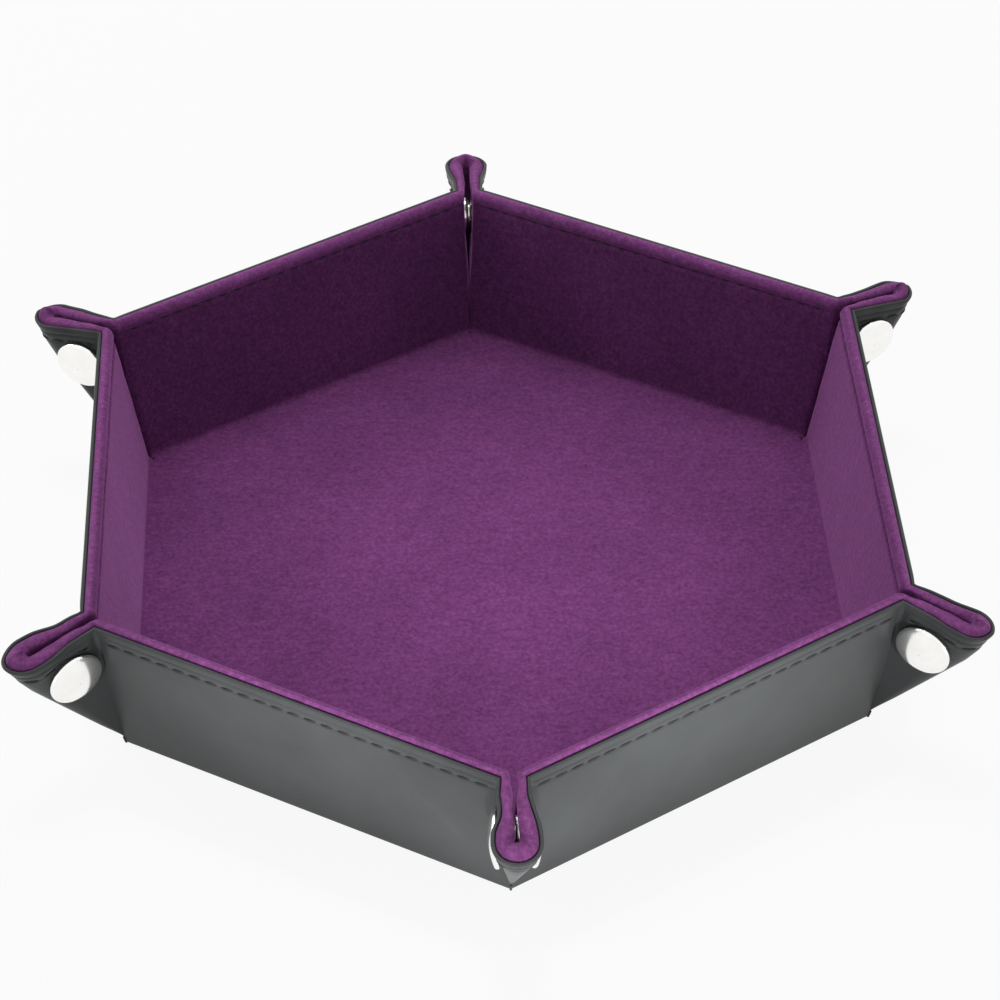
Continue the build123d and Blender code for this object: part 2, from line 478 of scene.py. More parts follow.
def texture(tree, scale, kind="Noise", output="Fac", stretch=(1.0, 1.0, 1.0), **settings):
    """A texture's value in the tray's own coordinates, in repeats per metre."""
    spot = add_node(tree, "TexCoord", {}, "Object")
    spot = add_node(tree, "Mapping", {"Vector": spot, "Scale": stretch}, "Vector")
    return add_node(tree, f"Tex{kind}", {"Vector": spot, "Scale": scale, **settings}, output)


def ramp(tree, source, *stops):
    """Colours by a value; stops are (position, colour)."""
    node = tree.nodes.new("ShaderNodeValToRGB")
    elements = node.color_ramp.elements
    while len(elements) < len(stops):
        elements.new(0.5)
    for element, (position, colour) in zip(elements, stops):
        element.position = position
        element.color = (*colour, 1.0)
    set_inputs(tree, node, {"Fac": source})
    return node.outputs["Color"]


def multiply(tree, first, second):
    """One colour times another."""
    node = tree.nodes.new("ShaderNodeMix")
    node.data_type = "RGBA"
    node.blend_type = "MULTIPLY"
    set_inputs(tree, node, {"Factor": 1.0, "A": first, "B": second})
    return node.outputs["Result"]


def value_range(tree, source, low, high):
    return add_node(tree, "MapRange", {"Value": source, "To Min": low, "To Max": high}, "Result")


def bump(tree, source, strength, depth):
    """Relief from a texture's value, on top of any relief that the shader has."""
    inputs = {"Strength": strength, "Distance": depth * MM, "Height": source}
    normal = tree.nodes[shader_name].inputs["Normal"]
    if normal.is_linked:
        inputs["Normal"] = normal.links[0].from_socket
    tree.links.new(add_node(tree, "Bump", inputs, "Normal"), normal)


def velvet_material():
    material, tree = new_material("purple_velvet")
    fibre = texture(tree, 1100.0, Detail=4.0, Roughness=0.65)
    stroke = texture(tree, 420.0, stretch=(0.6, 1.6, 1.0), Detail=3.0)
    nap = texture(tree, 34.0, Detail=3.0, Roughness=0.55)
    dark, plain, pale = (0.076, 0.018, 0.076), (0.116, 0.029, 0.116), (0.174, 0.047, 0.171)
    colour = ramp(tree, fibre, (0.28, dark), (0.50, plain), (0.75, pale))
    brushed = ramp(tree, stroke, (0.3, (0.88, 0.87, 0.88)), (0.7, (1.08, 1.10, 1.08)))
    patches = ramp(tree, nap, (0.3, (0.86, 0.84, 0.87)), (0.7, (1.06, 1.06, 1.05)))
    # The pile splayed over the rim is painted lighter and pinker: partly the splayed pile's own look and
    # partly a painted highlight.
    splay_and_highlight = tree.nodes.new("ShaderNodeAttribute")
    splay_and_highlight.attribute_name = splay_and_highlight_name
    splay_and_highlight_colour = ramp(tree, splay_and_highlight.outputs["Fac"], (0.0, (1.0, 1.0, 1.0)), (1.0, (1.55, 1.78, 1.52)))
    for shade in (brushed, patches, splay_and_highlight_colour):
        colour = multiply(tree, colour, shade)
    set_inputs(tree, tree.nodes[shader_name], {
        "Base Color": colour,
        "Roughness": 0.9,
        "Specular IOR Level": 0.12,
        "Sheen Weight": 0.42,
        "Sheen Roughness": 0.4,
        "Sheen Tint": (0.80, 0.32, 0.79, 1.0),
    })
    bump(tree, fibre, strength=0.5, depth=0.3)
    bump(tree, stroke, strength=0.25, depth=0.3)
    return material


def leather_material():
    material, tree = new_material("black_leather")
    grain = texture(tree, 1500.0, kind="Voronoi", output="Distance", Randomness=1.0)
    pores = texture(tree, 3200.0, Detail=2.0)
    handling = texture(tree, 55.0, Detail=4.0, Roughness=0.6)
    set_inputs(tree, tree.nodes[shader_name], {
        "Base Color": ramp(tree, handling, (0.3, (0.034, 0.036, 0.037)), (0.7, (0.046, 0.049, 0.050))),
        "Roughness": value_range(tree, handling, 0.32, 0.44),
        "Specular IOR Level": 0.15,
    })
    bump(tree, grain, strength=0.25, depth=0.06)
    bump(tree, pores, strength=0.2, depth=0.03)
    return material


def nickel_material():
    material, tree = new_material("polished_nickel")
    handling = texture(tree, 320.0, Detail=3.0)
    set_inputs(tree, tree.nodes[shader_name], {
        "Base Color": ramp(tree, handling, (0.3, (0.93, 0.92, 0.90)), (0.7, (0.98, 0.97, 0.95))),
        "Roughness": value_range(tree, handling, 0.10, 0.20),
        "Metallic": 1.0,
    })
    bump(tree, handling, strength=0.05, depth=0.05)
    return material


def thread_material():
    material, tree = new_material("black_thread")
    twist = texture(tree, 900.0, kind="Wave", Distortion=1.5)
    set_inputs(tree, tree.nodes[shader_name], {
        "Base Color": ramp(tree, twist, (0.2, (0.004, 0.004, 0.005)), (0.8, (0.012, 0.012, 0.013))),
        "Roughness": 0.6,
        "Specular IOR Level": 0.3,
    })
    bump(tree, twist, strength=0.4, depth=0.08)
    return material


def board_material():
    material, tree = new_material("grey_board")
    fibre = texture(tree, 900.0, stretch=(1.0, 2.5, 1.0), Detail=5.0)
    set_inputs(tree, tree.nodes[shader_name], {
        "Base Color": ramp(tree, fibre, (0.3, (0.22, 0.19, 0.15)), (0.7, (0.34, 0.30, 0.25))),
        "Roughness": 0.9,
        "Specular IOR Level": 0.2,
    })
    bump(tree, fibre, strength=0.3, depth=0.1)
    return material


layer_looks = {"velvet": (velvet_material(), "velvet"), "leather": (leather_material(), "leather")}
nickel_look = (nickel_material(), "snap")
thread_look = (thread_material(), "leather")


# Profiles: rows of a layer from its foot to the rim, as height up the wall and depth from the outer face

velvet_round_start = wall_slant + pile_rise - pile_round
rim_turns = np.linspace(0.0, rim_turn, rim_rows)[1:]
body_heights = np.linspace(body_start, seam_height - body_below_seam, body_rows)
leather_seam_heights = np.linspace(seam_height - seam_margin, wall_slant - leather / 2, leather_seam_rows)
velvet_seam_heights = np.linspace(seam_height - seam_margin, velvet_round_start, velvet_seam_rows)


def leather_dent(height):
    """Depth of the pressed line and of the seam's furrow."""
    groove = groove_depth * bell(height - groove_height, groove_width)
    return groove + seam_depth * bell(height - seam_height, seam_width)


def leather_rows(low_heights):
    """Front and back rows of leather: low ones, the face with its seam and groove, and the round rim."""
    face = np.hstack([low_heights, body_heights, leather_seam_heights])
    rim_depth = leather / 2 * (1 - np.cos(rim_turns))
    heights = np.hstack([face, wall_slant - leather / 2 + leather / 2 * np.sin(rim_turns)])
    front = np.hstack([leather_dent(face), rim_depth])
    back = leather - np.hstack([np.zeros(len(face)), rim_depth])
    return heights, front, back


def velvet_rows(low_heights):
    """Heights of velvet's rows, and how far each is round the rim, from 1 on the face to 0 at the top."""
    face = np.hstack([low_heights, body_heights, velvet_seam_heights])
    heights = np.hstack([face, velvet_round_start + pile_round * np.sin(rim_turns)])
    rounds = np.hstack([np.ones(len(face)), np.cos(rim_turns)])
    return heights, rounds


def velvet_depth(height, run):
    """Depth from the leather's outer face to the pile, with the seam's tuck and the welt above it."""
    pucker = 1 - tuck_pucker_share * (1 + np.cos(2 * pi * run / stitch_pitch)) / 2
    tuck = tuck_depth * pucker * bell(height - inner_seam_height, tuck_width)
    welt = welt_swell * bell(height - (inner_seam_height + wall_slant) / 2, welt_width)
    return sheet - tuck + welt


def crease_leather(height):
    """Thickness of the leather at the crease between a wall and an ear, which is pinched lower down."""
    return np.minimum(leather, leather_room_share * ear_room(0.0, height))


def crease_hollow(from_crease, height):
    """How far the leather's outer face is drawn in beside a crease."""
    below_rim = bell(height - wall_slant + hollow_below_rim, hollow_spread)
    return hollow_depth * bell(from_crease, hollow_width) * below_rim


# Base

def hexagon(reach, height):
    """Corners of the base's outline, with its flats a given distance from the middle."""
    angles = half_corner + np.arange(wall_count) * 2 * half_corner
    radius = reach / cos(half_corner)
    return np.stack([radius * np.cos(angles), radius * np.sin(angles), np.full(wall_count, height)], axis=-1)


def toe_shape():
    """The rounded end of leather at a base corner, where an ear's fold comes down to the ground."""
    angles = np.arange(toe_sides) * 2 * pi / toe_sides
    rings = []
    for height, reach, radius, room in toe_rings:
        sideways = radius * np.sin(angles)
        walls_at = height * tan(wall_lean) / cos(half_corner)
        walls_at = walls_at - np.abs(sideways) * tan(half_corner)
        outwards = np.maximum(reach + radius * np.cos(angles), walls_at + room)
        rings.append(corner + spread(outwards, radial) + spread(sideways, across) + up * height)
    return plate(rings)


def make_base_layer(kind, shape):
    piece = add_piece(f"{kind}_base", shape, layer_looks[kind])
    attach(piece, "base")
    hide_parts(f"base_{kind}")


def make_base():
    underside = hexagon(apothem - foot_tangent, 0.0)
    leather_shape = plate([underside, hexagon(apothem - base_leather_inset, leather)])
    toe_points, toe_faces = toe_shape()
    toes = [(toe_points @ place(index).T, toe_faces) for index in range(wall_count)]
    make_base_layer("leather", join([leather_shape] + toes))
    reach = apothem - floor_inset
    make_base_layer("velvet", plate([hexagon(reach, floor_back), hexagon(reach, sheet)]))


# Walls

room_slope = cos(wall_lean) * sin(half_corner)
lean_slope = sin(wall_lean) * sin(half_corner)


def wall_point(run, height, depth):
    return edge_middle + spread(run, along) + spread(height, wall_up) - spread(depth, wall_out)


def wall_room(run, height):
    """Depth from a wall's outer face in to the middle plane of the nearer corner."""
    return ((half_side - np.abs(run)) * cos(half_corner) + height * lean_slope) / room_slope


def corner_run(height, depth):
    """Run from a wall's middle at which a depth reaches the middle plane of a corner."""
    return half_side - (depth * room_slope - height * lean_slope) / cos(half_corner)


def foot_round(foot, depth, radius, rows):
    """Heights and depths of rows round the fold at a wall's foot."""
    turns = np.linspace(fold_turn, 0.0, rows)[:-1]
    return foot - radius * np.sin(turns), depth + radius * (1 - np.cos(turns))


def floor_edge(inset, depth):
    """Height and depth, by a wall, of a layer's edge on the base."""
    edge = up * depth - outward * inset
    return edge.dot(wall_up), -edge.dot(wall_out)


def floor_back_rows(inset, depth, shares):
    """Heights and depths of a layer's back, from its edge on the base to the fold at a wall's foot."""
    edge_height, edge_depth = floor_edge(inset, depth)
    heights = edge_height + (depth * mitre_slope - edge_height) * shares
    return heights, edge_depth + (depth - edge_depth) * shares


def wall_leather_shape():
    foot_heights, foot_depths = foot_round(foot_tangent, 0.0, foot_radius, leather_foot_rows)
    face_heights, face_depths, back = leather_rows([foot_tangent] + wall_leather_low)
    heights = np.hstack([foot_heights, face_heights])[:, None]
    depths = np.hstack([foot_depths, face_depths])[:, None]
    shares = np.sin(np.linspace(-pi / 2, pi / 2, wall_leather_columns))
    from_end = half_side - np.abs(shares) * half_side
    depths = depths - leather_dent(heights) * (1 - ease(from_end / dent_fade))
    depths = depths + crease_hollow(from_end, heights)
    trim = foot_corner * (1 - ease(heights / (2 * foot_corner)))
    runs = shares * (half_side - trim)
    front_points = wall_point(runs, heights, depths)

    # The inner face starts on the base, at the base leather's edge
    foot_shares = np.linspace(0.0, 1.0, leather_foot_rows)[:-1]
    foot_heights, foot_depths = floor_back_rows(base_leather_inset, leather, foot_shares)
    heights = np.hstack([foot_heights, np.maximum(face_heights, leather * mitre_slope)])[:, None]
    depths = np.hstack([foot_depths, back])[:, None]
    room = leather_room_share * wall_room(runs, np.maximum(heights, room_height_least))
    depths = np.minimum(depths, np.maximum(room, leather_least))
    reach = half_side - trim + hinge_shift * crease_leather(heights) / leather
    return shell(front_points, wall_point(shares * reach, heights, depths))


def wall_velvet_shape(index):
    """A wall's velvet, and how far its rows are round the rim. The lowest lie on the floor."""
    edge_height, edge_depth = floor_edge(floor_inset, sheet)
    foot_heights, foot_depths = foot_round(floor_foot, sheet, floor_fillet, velvet_foot_rows)
    face_heights, face_rounds = velvet_rows([floor_foot, floor_foot + velvet_low_step])
    floor_rows = 1 + len(foot_heights)
    heights = np.hstack([[edge_height], foot_heights, face_heights])[:, None]
    depths = np.hstack([[edge_depth], foot_depths, np.full(len(face_heights), sheet)])[:, None]
    rounds = np.hstack([np.ones(floor_rows), face_rounds])
    on_floor = (np.arange(len(heights)) < floor_rows)[:, None]

    shares = np.linspace(-1.0, 1.0, wall_velvet_columns)
    reach = half_side + hinge_shift * crease_leather(heights) / leather
    floor_reach = np.minimum(reach, corner_run(heights, depths) + floor_overrun)
    runs = shares * np.where(on_floor, floor_reach, reach)
    detail = velvet_depth(heights, runs) - sheet
    detail = detail + pile_wave * unevenness(wall_point(runs, heights, sheet), index)
    wanted = depths + np.where(on_floor, 0.0, detail * ease((heights - floor_foot) / pile_fade))
    near, far = (corner_looks[corner_names[k % wall_count]]["slit_share"] for k in (index, index + 1))
    slit = slit_half(heights, np.where(runs < 0, near, far)) + mouth(0.0, heights)
    face = soft_least(wanted, wall_room(runs, heights) - slit / room_slope)

    # The back lies on the leather at the rim, and on the board below it
    rim_back = crease_leather(heights) + velvet_clear
    behind_board = heights < wall_slant - board_top_below_rim
    back = np.where(behind_board, floor_back, leather + velvet_clear)
    back = np.minimum(back, np.where(behind_board, (face + rim_back) / 2, rim_back))
    face = np.maximum(face, back + velvet_clear)
    middle, half = (face + back) / 2, (face - back) / 2 * rounds[:, None]
    floor_shares = np.clip((heights - edge_height) / (floor_foot - edge_height), 0.0, 1.0)
    floor_heights, floor_depths = floor_back_rows(floor_inset, floor_back, floor_shares)
    floor_depths = np.minimum(floor_depths, face - velvet_clear)
    back_heights = np.where(on_floor, floor_heights, heights)
    back_depths = np.where(on_floor, floor_depths, middle - half)
    shape = shell(wall_point(runs, heights, middle + half), wall_point(runs, back_heights, back_depths))
    return shape, rounds


# Ears

plate_shares = np.linspace(0.0, 1.0, plate_columns) ** plate_crowding
cone_turns = np.linspace(0.0, tip_turn, cone_columns)[1:]


def ear_seed(corner_name, kind):
    return corner_names.index(corner_name) + wall_count * (2 if kind == "stud" else 1)


def ear_length(cone_line, height):
    """Length along a line of the cone from its point to a height up the wall."""
    return (height - (tip_point - corner).dot(wall_up)) / cone_line.dot(wall_up)


def ear_room(run, height):
    """Depth from an ear plate's outer face in to the corner's middle plane."""
    return (run * ear_out.dot(across) + height * wall_up.dot(across)) / ear_face.dot(across)


def ear_bend(runs, heights, corner_name, kind):
    """How far an ear half swells, is lifted, has its tip pulled in and has its folded edge pushed out."""
    looks = corner_looks[corner_name]
    soft = softness(heights)
    spots = np.stack(np.broadcast_arrays(runs, heights, 0.0), axis=-1)
    own = unevenness(spots, ear_seed(corner_name, kind), rumple_length)
    shared = unevenness(spots, corner_names.index(corner_name), rumple_length)
    tip_shares = runs / runs[:, -1:]
    wave = own + (shared - own) * ease_from(rumple_start_share, tip_shares)
    wave = looks["rumple"] * wave * ease(runs / swell_from_crease)
    from_cap = np.hypot(runs - snap_from_crease, heights - snap_height) - cap_radius
    swell = soft * (looks["swell"] * ease((runs - swell_from_crease) / swell_spread) + wave)
    swell = swell * ease(from_cap / cap_clear)
    fold = (1 - soft) * np.maximum(heights - fold_start, 0.0)
    swell = swell + fold_round * fold * ease_from(fold_round_start_share, tip_shares)
    drawn = fold_draw * np.maximum(1 - heights / fold_draw_height, 0.0)
    push = (fold_reach * fold - drawn) * ease_from(fold_reach_start_share, tip_shares)
    lift = soft * (wave - looks["droop"] * ease(tip_shares))
    pull = soft * looks["blunting"] * ease_from(blunting_start_share, tip_shares)
    return swell, lift, pull, push


def ear_surface(heights, corner_name, kind):
    """An ear half's outer face, in columns from the crease round to the tip.

    Gives points, the columns' normals, depths to the middle plane, runs from the crease and swells.
    """
    rows = heights[:, None]
    touch = tip_axis * tip_cosine + tip_start * tip_sine
    touch_run = (tip_point - corner + spread(ear_length(touch, rows), touch)) @ ear_out
    plate_runs = touch_run * plate_shares
    plate_points = corner + spread(plate_runs, ear_out) + spread(rows, wall_up)
    plate_normals = np.tile(ear_face, (plate_columns, 1))
    spokes = spread(np.cos(cone_turns), tip_start) + spread(np.sin(cone_turns), tip_side)
    cone_lines = tip_axis * tip_cosine + spokes * tip_sine
    lengths = ear_length(cone_lines, rows)
    cone_runs = touch_run + lengths * tip_sine * cone_turns
    points = np.hstack([plate_points, tip_point + lengths[..., None] * cone_lines])
    normals = np.vstack([plate_normals, spokes * tip_cosine - tip_axis * tip_sine])
    room = np.hstack([ear_room(plate_runs, rows), lengths * tip_sine / tip_cosine])
    runs = np.hstack([plate_runs, cone_runs])
    swell, lift, pull, push = ear_bend(runs, rows, corner_name, kind)
    points = points + swell[..., None] * normals + spread(lift, wall_up) - spread(pull, radial)
    points = points + spread(push, tip_end)
    room = room + swell + push * (normals @ tip_end)
    return points, normals, room, runs, swell


def keep_clear(points):
    """Pushes points back to their own side of the corner's middle plane."""
    short = np.maximum(middle_gap - (points - corner) @ across, 0.0)
    return points + spread(short, across)


def ear_leather_shape(corner_name, kind):
    heights, front, back = leather_rows(ear_leather_low)
    points, normals, room, runs, _ = ear_surface(heights, corner_name, kind)
    front, back, rows = front[:, None], back[:, None], heights[:, None]
    front = front - leather_dent(rows) * (1 - ease(runs / dent_fade)) + crease_hollow(runs, rows)
    front_points = points - front[..., None] * normals
    front_points[:, 0] = points[:, 0] - spread(front[:, 0], wall_out)
    back = np.minimum(back, leather_room_share * room)
    back_points = points - back[..., None] * normals
    back_points[:, 0] = points[:, 0] + spread(back[:, 0] / leather, hinge - corner)
    return shell(keep_clear(front_points), keep_clear(back_points))


def crease_roll(heights, rounds, slit, seed):
    """Front and back points of an ear's velvet where it rolls round the leather at the crease."""
    thickness = crease_leather(heights)
    root = corner + spread(heights, wall_up) + spread(thickness / leather, hinge - corner)
    root_room = (root - corner) @ across - slit - mouth(0.0, heights)
    front, back = [], []
    for turn in np.linspace(0.0, ear_fold, roll_columns)[:-1]:
        facing = wall_out * cos(turn) + along * sin(turn)
        wave = pile_wave * unevenness(root - facing * (sheet - leather), seed)
        thick = velvet_depth(heights, -half_side) + wave - thickness
        thick = np.maximum(soft_least(thick, root_room / facing.dot(across)), 2 * velvet_clear)
        half = (thick - velvet_clear) / 2
        front.append(root - spread(velvet_clear + half * (1 + rounds), facing))
        back.append(root - spread(velvet_clear + half * (1 - rounds), facing))
    return np.stack(front, axis=1), np.stack(back, axis=1)


def ear_velvet_shape(corner_name, kind):
    """An ear half's velvet, from round the crease to the tip, and how far its rows are round the rim."""
    looks = corner_looks[corner_name]
    seed = ear_seed(corner_name, kind)
    heights, rounds = velvet_rows(ear_velvet_low)
    points, normals, room, runs, swell = ear_surface(heights, corner_name, kind)
    slit = slit_half(heights, looks["slit_share"])
    roll_front, roll_back = crease_roll(heights, rounds, slit, seed)

    # The velvet is pressed flat round the snap, and plump and wavy above it
    rows = heights[:, None]
    from_snap = np.hypot(runs - snap_from_crease, rows - snap_height)
    pressed = seat_height - seat_dent_slope * np.maximum(from_snap - socket_radius - seat_dent_margin, 0.0)
    half_slit = np.maximum(slit[:, None] + mouth(runs, rows), pressed)
    soft = softness(rows)
    bunch = tip_bunch * ease_from(tip_bunch_start_share, runs / runs[:, -1:])
    plump = soft * (looks["plump"] * ease(runs / swell_from_crease) + bunch) + swell_fill_share * swell
    wave = pile_wave * unevenness(points, seed) * (1 - soft)
    wave = wave + ear_pile_wave * unevenness(points, seed, ear_pile_wave_length) * soft
    wanted = velvet_depth(rows, -half_side - runs) + plump + wave
    face = soft_least(wanted, room - half_slit / ear_face.dot(across))
    back = np.minimum(leather, leather_room_share * room) + velvet_clear
    face = np.maximum(face, back + velvet_clear)
    middle, half = (face + back) / 2, (face - back) / 2 * rounds[:, None]
    front = points - (middle + half)[..., None] * normals
    rear = points - (middle - half)[..., None] * normals
    front = np.hstack([roll_front, front[:, 1:]])
    rear = np.hstack([roll_back, rear[:, 1:]])
    return shell(keep_clear(front), keep_clear(rear)), rounds


# Snaps

seat = corner + ear_out * snap_from_crease + wall_up * snap_height
seat_rise = (seat - corner).dot(across)
seat_slope = tan(acos(ear_face.dot(across)))
seat_height = seat_rise - leather / ear_face.dot(across) - socket_radius * seat_slope - seat_gap
snap_middle = seat - across * seat_rise


def cap_shape():
    """The domed cap, with a rolled edge, and its post."""
    edge = arc((cap_radius - cap_roll, cap_roll), cap_roll, bevel_cut - 90.0, cap_roll_end, cap_roll_points)
    rise = cap_height - edge[-1][1]
    dome_radius = (edge[-1][0] ** 2 + rise ** 2) / (2 * rise)
    start = degrees(asin((dome_radius - rise) / dome_radius))
    dome = arc((0.0, cap_height - dome_radius), dome_radius, start, dome_end, dome_points)[1:]
    post_length = seat_rise - seat_height - post_gap
    post = [(axis_gap, -post_length), (post_radius, -post_length), (post_radius, 0.0)]
    return lathe(post + edge + dome, seat, ear_face)


def socket_shape():
    """The ring that a stud snaps into, with a rounded front and a raised lip."""
    front = -(seat_height - stud_flange - mouth_gap)
    inner, outer, bevel = socket_bore_radius, socket_radius, snap_bevel
    lip = (inner + outer) / 2
    profile = [(inner, seat_height), (inner, front + bevel)]
    profile += arc((inner + bevel, front + bevel), bevel, 180.0 + bevel_cut, 270.0, bevel_points)
    profile += [(lip, front), (lip + bevel, front + bevel)]
    profile += arc((outer - bevel, front + 2 * bevel), bevel, 270.0, 360.0 - bevel_cut, bevel_points)
    profile += [(outer, seat_height)]
    return lathe(profile, snap_middle, across)


def stud_shape():
    """The flange and the rounded head that snaps into a socket."""
    face = seat_height - stud_flange
    tip = stud_gap - seat_height
    head, bevel = stud_head_radius - snap_bevel, snap_bevel
    profile = [(axis_gap, seat_height), (stud_flange_radius, seat_height)]
    profile += arc((stud_flange_radius - bevel, face + bevel), bevel, 0.0, -90.0, bevel_points)
    profile += [(stud_neck_radius + bevel, face), (stud_neck_radius, face - bevel)]
    profile += [(stud_neck_radius, tip + stud_head_length)]
    profile += arc((head, tip + bevel), bevel, stud_head_start, bevel_cut - 90.0, stud_head_points)
    profile += [(axis_gap, tip)]
    return lathe(profile, snap_middle, across)


# Stitches

def stitch(points, normals):
    """One stitch of thread along a few points of a surface; its ends dip into the surface."""
    angles = np.arange(stitch_sides) * 2 * pi / stitch_sides
    last = len(points) - 1
    rings = []
    for k, share in enumerate(np.linspace(-1.0, 1.0, len(points))):
        tangent = unit(points[min(k + 1, last)] - points[max(k - 1, 0)])
        side = np.cross(tangent, normals[k])
        swell = sqrt(max(1 - share ** 4, stitch_end_least))
        rises = stitch_arch * (1 - share ** 2) - stitch_arch / 2 + stitch_half_height * swell * np.sin(angles)
        widths = stitch_half_width * swell * np.cos(angles)
        rings.append(points[k] + spread(rises, normals[k]) + spread(widths, side))
    return plate(rings)


def stitch_run(points, normals, runs, first, last):
    """Stitches along a line on a surface, by its run, spaced from the wall's middle."""
    def at(spots, values):
        return np.stack([np.interp(spots, runs, values[:, axis]) for axis in range(3)], axis=-1)

    normals = np.broadcast_to(normals, points.shape)
    slant = spread(np.linspace(-stitch_slant, stitch_slant, stitch_points), wall_up)
    stitches = []
    number = ceil((first + stitch_length / 2) / stitch_pitch)
    while number * stitch_pitch + stitch_length / 2 <= last:
        spots = number * stitch_pitch + stitch_length * np.linspace(-0.5, 0.5, stitch_points)
        facing = at(spots, normals)
        facing = facing / np.linalg.norm(facing, axis=-1, keepdims=True)
        stitches.append(stitch(at(spots, points) + slant, facing))
        number += 1
    return stitches


def wall_stitches_shape():
    """The seam along a wall, on the leather and on the velvet."""
    end = half_side - seam_end_gap
    inner_end = half_side - inner_seam_end_gap
    runs = np.linspace(-end, end, seam_points)
    outside = wall_point(runs, seam_height, seam_depth / 2)
    stitches = stitch_run(outside, wall_out, runs, -end, end)
    inside = wall_point(runs, inner_seam_height, velvet_depth(inner_seam_height, runs) - inner_stitch_sink)
    stitches += stitch_run(inside, -wall_out, runs, -inner_end, inner_end)
    return join(stitches)


def ear_stitches_shape(corner_name, kind):
    """The seam along an ear half's leather, from the crease round to the tip."""
    points, normals, _, runs, _ = ear_surface(np.array([seam_height]), corner_name, kind)
    outside = points[0] - normals * (seam_depth / 2)
    line = runs[0] + half_side
    first, last = half_side + ear_seam_start_gap, line[-1] - ear_seam_tip_gap
    return join(stitch_run(outside, normals, line, first, last))


# Placing

def make_wall(index):
    body = f"wall_{wall_names[index]}"
    bodies = ("base", body)
    matrix = place(index)
    facts = dict(flat=(base_side * MM, wall_slant * MM), held="stretched", rests_on=[f"{body}_board"])

    bend = (edge_middle - outward * foot_tangent, edge_middle + wall_up * foot_tangent)
    add_layer("leather", wall_leather, matrix, bodies, bend, **facts)

    shape, rounds = wall_velvet_shape(index)
    start = edge_middle - outward * floor_foot + up * sheet
    bend = (start, edge_middle + wall_up * floor_foot - wall_out * sheet)
    pile = add_layer("velvet", shape, matrix, bodies, bend, **facts)
    add_splay_and_highlight(pile, rounds)

    seam = add_piece(f"stitches_{body}", wall_stitches, thread_look, matrix)
    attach(seam, body)


def make_ear_half(index, kind):
    mirrored = kind == "stud"
    corner_name = corner_names[(index + 1) % wall_count if mirrored else index]
    matrix = place(index, mirrored)
    wall_body = f"wall_{wall_names[index]}"
    body = f"ear_{corner_name}_{kind}_half"
    bodies = (wall_body, body)
    bisector = unit(ear_out - along)
    flat = (wall_slant * tan(half_corner) * MM, wall_slant * MM)
    facts = dict(flat=flat, held="folded", area=flat[0] * flat[1] / 2)

    shape = ear_leather_shape(corner_name, kind)
    bend = (corner, corner + bisector * crease_blend)
    add_layer("leather", shape, matrix, bodies, bend, rests_on=[f"leather_{wall_body}"], **facts)

    shape, rounds = ear_velvet_shape(corner_name, kind)
    reach = (sheet - leather) * sin(ear_fold / 2)
    bend = (hinge - bisector * reach, hinge + bisector * reach)
    pile = add_layer("velvet", shape, matrix, bodies, bend, rests_on=[f"leather_{body}"], **facts)
    add_splay_and_highlight(pile, rounds)

    seam = add_piece(f"stitches_{body}", ear_stitches_shape(corner_name, kind), thread_look, matrix)
    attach(seam, body)

    cap = add_piece(f"cap_{corner_name}_{kind}", snap_cap, nickel_look, matrix, metal_edge)
    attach(cap, body)
    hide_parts(f"snap_{corner_name}_{kind}")
    inner = add_piece(f"{kind}_{corner_name}", snap_inner[kind], nickel_look, matrix, metal_edge)
    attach(inner, body)


def dress_boards():
    material = board_material()
    for name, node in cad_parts.items():
        if name.endswith("_board"):
            node.data.materials.clear()
            node.data.materials.append(material)


wall_leather = wall_leather_shape()
wall_stitches = wall_stitches_shape()
snap_cap = cap_shape()
snap_inner = {"socket": socket_shape(), "stud": stud_shape()}

make_base()
for wall_index in range(wall_count):
    make_wall(wall_index)
    make_ear_half(wall_index, "socket")
    make_ear_half(wall_index, "stud")
dress_boards()


# Stage and light, in metres and watts, but for what is placed by the tray, in millimetres

floor_half = 3.0
floor_drop = 0.0003  # below the tray
floor_grey = 0.70
floor_glow = 0.91  # how much of the floor that is seen is plain white
ambient = 0.42  # light from all round
light_target = (0.0, 0.0, 0.01)
area_lights = [  # name, position, size, power
    ("overhead", (0.0, 0.36, 0.85), (0.6, 0.3), 2.9),
    ("left", (-0.80, 0.30, 0.45), (0.5, 0.4), 2.6),
    ("right", (0.80, 0.30, 0.45), (0.5, 0.4), 0.8),
]
level_spot_distance = 400.0
level_spot_source = 0.012
wall_spots = 3
wall_spot_step = 28.0
wall_spot_height = 38.0
wall_spot_cone = 15.0
fold_spot_height = 14.0
fold_spot_cone = 7.0


def seen_rays(tree, others, seen):
    """A value for rays that show the background, straight or in gloss, and one for others."""
    path = tree.nodes.new("ShaderNodeLightPath")
    either = tree.nodes.new("ShaderNodeMath")
    either.operation = "MAXIMUM"
    set_inputs(tree, either, {0: path.outputs["Is Camera Ray"], 1: path.outputs["Is Glossy Ray"]})
    return value_range(tree, either.outputs["Value"], others, seen)


def floor_material():
    material, tree = new_material("pale_floor")
    tree.nodes.clear()
    diffuse = add_node(tree, "BsdfDiffuse", {"Color": (floor_grey, floor_grey, floor_grey, 1.0)}, "BSDF")
    glow = add_node(tree, "Emission", {"Strength": 1.0}, "Emission")
    mix = add_node(tree, "MixShader", {0: seen_rays(tree, 0.0, floor_glow), 1: diffuse, 2: glow}, "Shader")
    output = tree.nodes.new("ShaderNodeOutputMaterial")
    set_inputs(tree, output, {"Surface": mix})
    return material


def make_floor():
    mesh = bpy.data.meshes.new("floor")
    signs = [(-1, -1), (1, -1), (1, 1), (-1, 1)]
    mesh.from_pydata([(x * floor_half, y * floor_half, -floor_drop) for x, y in signs], [], [(0, 1, 2, 3)])
    mesh.materials.append(floor_material())
    floor = add_object("floor", mesh)


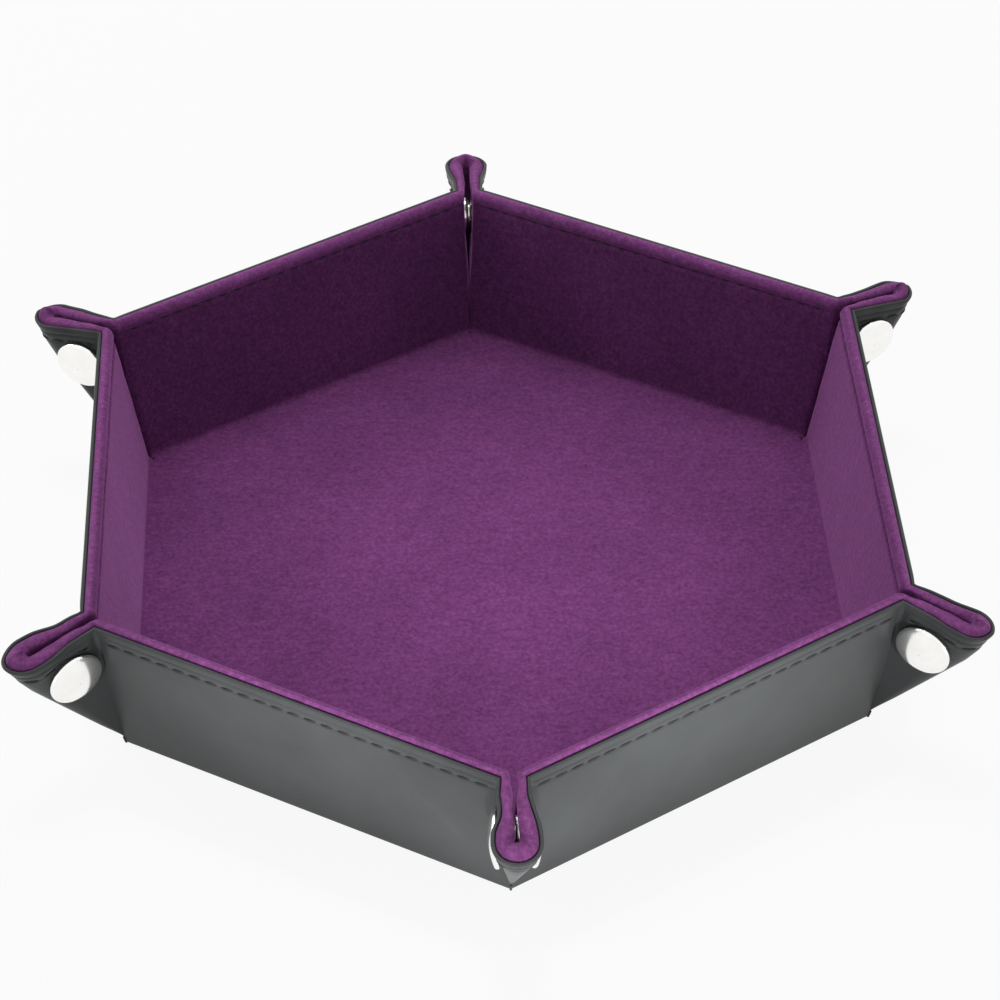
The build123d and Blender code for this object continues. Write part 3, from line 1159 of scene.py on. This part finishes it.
def make_world():
    world = bpy.data.worlds.new("studio")
    bpy.context.scene.world = world
    world.use_nodes = True
    tree = world.node_tree
    inputs = {"Color": (1.0, 1.0, 1.0, 1.0), "Strength": seen_rays(tree, ambient, 1.0)}
    set_inputs(tree, tree.nodes["Background"], inputs)


def add_lamp(name, kind, position, target, power):
    light = bpy.data.lights.new(name, kind)
    light.energy = power
    lamp = add_object(name, light)
    lamp.location = position
    lamp.rotation_euler = (Vector(target) - Vector(position)).to_track_quat("-Z", "Y").to_euler()
    return lamp


def add_area_light(name, position, size, power):
    lamp = add_lamp(name, "AREA", position, light_target, power)
    lamp.visible_camera = False
    lamp.data.shape = "RECTANGLE"
    lamp.data.size, lamp.data.size_y = size


def add_spot(name, position, target, power, cone, source):
    """A round spot, by its cone in degrees, that fades from its middle to its edge."""
    light = add_lamp(name, "SPOT", position, target, power).data
    light.spot_size = radians(cone)
    light.spot_blend = 1.0
    light.shadow_soft_size = source


def add_level_spot(name, index, target, direction, power, cone):
    """A spot level with a point on the tray, given at the first wall."""
    matrix = place(index)
    position = metres(target + direction * level_spot_distance, matrix)
    add_spot(name, position, metres(target, matrix), power, cone, level_spot_source)


def light_wall(name, shift, power):
    """A row of level spots on the outside of a wall, brightest at its rim."""
    index = wall_names.index(name)
    for k in range(wall_spots):
        run = shift + (k - (wall_spots - 1) / 2) * wall_spot_step
        target = edge_middle + along * run + up * wall_spot_height
        add_level_spot(f"wall_light_{name}_{k + 1}", index, target, outward, power, wall_spot_cone)


def light_fold(corner_name, power):
    """A level spot on the folded edge of an ear."""
    target = corner + up * fold_spot_height
    add_level_spot("fold_light", corner_names.index(corner_name), target, radial, power, fold_spot_cone)


def make_camera():
    """The photograph's view, fitted to the tray's corners and rims."""
    azimuth, elevation, roll = (radians(angle) for angle in (-3.231, 41.197, 0.324))
    eye = Vector((-27.70, -536.38, 495.69)) * MM
    focal_pixels, picture_pixels, sensor = 3192.2, 1000.0, 36.0
    data = bpy.data.cameras.new("camera")
    data.sensor_width = sensor
    data.lens = sensor * focal_pixels / picture_pixels
    data.clip_start, data.clip_end = 0.05, 20.0
    camera = add_object("camera", data)
    tilt = Matrix.Rotation(pi / 2 - elevation, 4, "X") @ Matrix.Rotation(roll, 4, "Z")
    camera.matrix_world = Matrix.Translation(eye) @ Matrix.Rotation(azimuth, 4, "Z") @ tilt
    bpy.context.scene.camera = camera


make_floor()
make_world()
for area_light in area_lights:
    add_area_light(*area_light)
add_spot("pool", (0.0, 0.20, 0.85), (0.0, -0.01, 0.0), power=29.0, cone=13.5, source=0.08)
light_wall("front_left", shift=8.0, power=4.6)
light_wall("front_right", shift=-4.0, power=6.0)
light_fold("front", power=8.0)
make_camera()
bpy.context.scene.view_settings.view_transform = "Standard"

bpy.context.view_layer.update()
